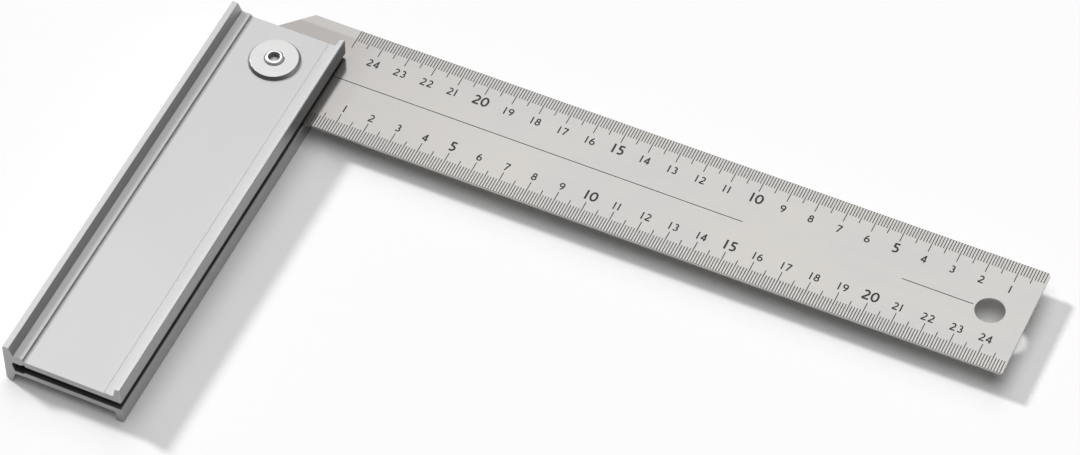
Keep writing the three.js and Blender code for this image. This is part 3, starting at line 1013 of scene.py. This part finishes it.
class MakeNut(bpy.types.Operator):
    """Make the round nut under the stock with its square neck"""
    bl_idname = "set_square.make_nut"
    bl_label = "Nut"

    def execute(self, context):
        sizes = settings().clamp
        angle = round_angles(SMALL_ROUND_STEPS)
        bore = sizes.shank + RUNNING_GAP
        rim = NUT_HIGH.x - PIVOT_X
        low, high = NUT_LOW.z, NUT_HIGH.z
        disc_top = settings().stock.lip_rise - FACE_GAP
        chamfer = 0.4 * MM
        mouth = 0.3 * MM
        edge = 0.1 * MM
        slope = 0.02 * MM
        blunt_corner = 0.96
        # Square neck: half its side over the larger of cosine and sine, less at its corners
        half = sizes.neck / 2
        square = half / np.maximum(np.abs(np.cos(angle)), np.abs(np.sin(angle)))
        square = np.minimum(square, square.max() * blunt_corner)
        radii = [bore + mouth, rim - chamfer - edge, rim - chamfer, rim, rim, rim - edge,
                 square, square, square - edge, bore + mouth, bore, bore]
        levels = [low, low, low + slope, low + chamfer, disc_top - edge, disc_top,
                  disc_top, high - edge, high, high, high - mouth, low + mouth]
        mesh = mesh_of("nut", *turned(radii, levels, SMALL_ROUND_STEPS, closed=True))
        add_piece("nut", mesh, "clamp_nut", [bpy.data.materials["turned_steel"]],
                  ["clamp_nut"], flat_led=True)
        return {"FINISHED"}


class MakeWashers(bpy.types.Operator):
    """Make the split spring washer and the two friction washers"""
    bl_idname = "set_square.make_washers"
    bl_label = "Washers"

    def execute(self, context):
        sizes = settings().clamp
        colours = settings().finishes
        inner = sizes.shank + SHANK_GAP
        outer = SPRING_HIGH.x - PIVOT_X
        half_slit = math.radians(7)
        wire_edge = 0.08 * MM
        moulded_edge = 0.1 * MM
        end = 2 * math.pi - half_slit
        split = np.concatenate([arc(PIVOT, outer, half_slit, end, SMALL_ROUND_STEPS),
                                arc(PIVOT, inner, end, half_slit, SMALL_ROUND_STEPS)])
        wire = mesh_of("split_ring", *slab([split], SPRING_LOW.z, SPRING_HIGH.z, wire_edge))
        add_piece("split_ring", wire, "stock",
                  [spring_steel("spring_steel", colours.spring)], ["spring_washer"])
        nylon = black_nylon("black_nylon", colours.nylon)
        for name, node, low, high in (
                ("upper_friction_ring", "upper_friction_washer", UPPER_WASHER_LOW,
                 UPPER_WASHER_HIGH),
                ("lower_friction_ring", "lower_friction_washer", LOWER_WASHER_LOW,
                 LOWER_WASHER_HIGH)):
            outlines = [ring(high.x - PIVOT_X), ring(sizes.sleeve + RUNNING_GAP)]
            washer = mesh_of(name, *slab(outlines, low.z, high.z, moulded_edge))
            add_piece(name, washer, "stock", [nylon], [node])
        return {"FINISHED"}


# Stage

# The camera stands where the photograph's did: its place, then its right, its up and its back
CAMERA_PLACE = (0.373993, -0.796199, 1.172406)
CAMERA_RIGHT = (0.907911256, 0.419153793, -0.002692548)
CAMERA_UP = (-0.327737281, 0.713873165, 0.61884843)
CAMERA_BACK = (0.261314804, -0.560977007, 0.785505806)
# Lamps, all far away: name, azimuth from +X and elevation in degrees, width of the disc in degrees,
# and power in watts a square metre
LAMPS = (
    ("key", 166, 41, 8, 1.79),
    ("softbox", 112, 48, 40, 0.43),
    ("ceiling", 0, 90, 60, 1.43),
)


class MakeStage(bpy.types.Operator):
    """Make the floor, the lamps, the world and the camera"""
    bl_idname = "set_square.make_stage"
    bl_label = "Stage"

    def execute(self, context):
        stage = settings().stage
        scene = context.scene
        half = stage.floor_side / 2
        corners = [(-half, -half, 0), (half, -half, 0), (half, half, 0), (-half, half, 0)]
        mesh = bpy.data.meshes.new("floor")
        mesh.from_pydata(corners, [], [(0, 1, 2, 3)])
        white = white_floor("white_floor", settings().finishes.floor, stage.floor_glow)
        mesh.materials.append(white)
        floor = in_scene("floor", mesh)
        for name, azimuth, elevation, width, power in LAMPS:
            lamp = bpy.data.lights.new(name, "SUN")
            lamp.angle = math.radians(width)
            lamp.energy = power * stage.light
            turn = Matrix.Rotation(math.radians(azimuth), 3, "Z")
            rise = Matrix.Rotation(math.radians(90 - elevation), 3, "Y")
            in_scene(name, lamp).rotation_euler = (turn @ rise).to_euler()
        scene.world = pale_room("pale_room", stage.world, stage.reflected)
        camera = bpy.data.cameras.new("camera")
        camera.sensor_width = 36
        camera.lens = stage.lens
        camera.clip_start = 0.01
        turn = Matrix((CAMERA_RIGHT, CAMERA_UP, CAMERA_BACK)).transposed().to_4x4()
        scene.camera = in_scene("camera", camera)
        scene.camera.matrix_world = Matrix.Translation(CAMERA_PLACE) @ turn
        scene.view_settings.view_transform = "Standard"
        return {"FINISHED"}


class SetSquare(bpy.types.PropertyGroup):
    """All that a user may change"""
    stock: PointerProperty(type=StockSizes)
    blade: PointerProperty(type=BladeSizes)
    marks: PointerProperty(type=MarkSizes)
    clamp: PointerProperty(type=ClampSizes)
    finishes: PointerProperty(type=Finishes)
    stage: PointerProperty(type=StageSettings)


STEPS = (MakeStock, MakeBlade, MakeScales, MakeNumbers, MakeDisc, MakeScrew, MakeNut, MakeWashers,
         MakeStage)


class SetSquarePanel(bpy.types.Panel):
    """The steps that make the set square, in their order"""
    bl_idname = "VIEW3D_PT_set_square"
    bl_label = "Adjustable Set Square"
    bl_space_type = "VIEW_3D"
    bl_region_type = "UI"
    bl_category = "Set Square"

    def draw(self, context):
        for step in STEPS:
            self.layout.operator(step.bl_idname)


GROUPS = (StockSizes, BladeSizes, MarkSizes, ClampSizes, Finishes, StageSettings, SetSquare)
CLASSES = GROUPS + STEPS + (SetSquarePanel,)


def register():
    for each in CLASSES:
        bpy.utils.register_class(each)
    bpy.types.Scene.set_square = PointerProperty(type=SetSquare)


def unregister():
    del bpy.types.Scene.set_square
    for each in reversed(CLASSES):
        bpy.utils.unregister_class(each)


def main():
    register()
    for step in STEPS:
        group, action = step.bl_idname.split(".")
        getattr(getattr(bpy.ops, group), action)()


if __name__ == "__main__":
    main()
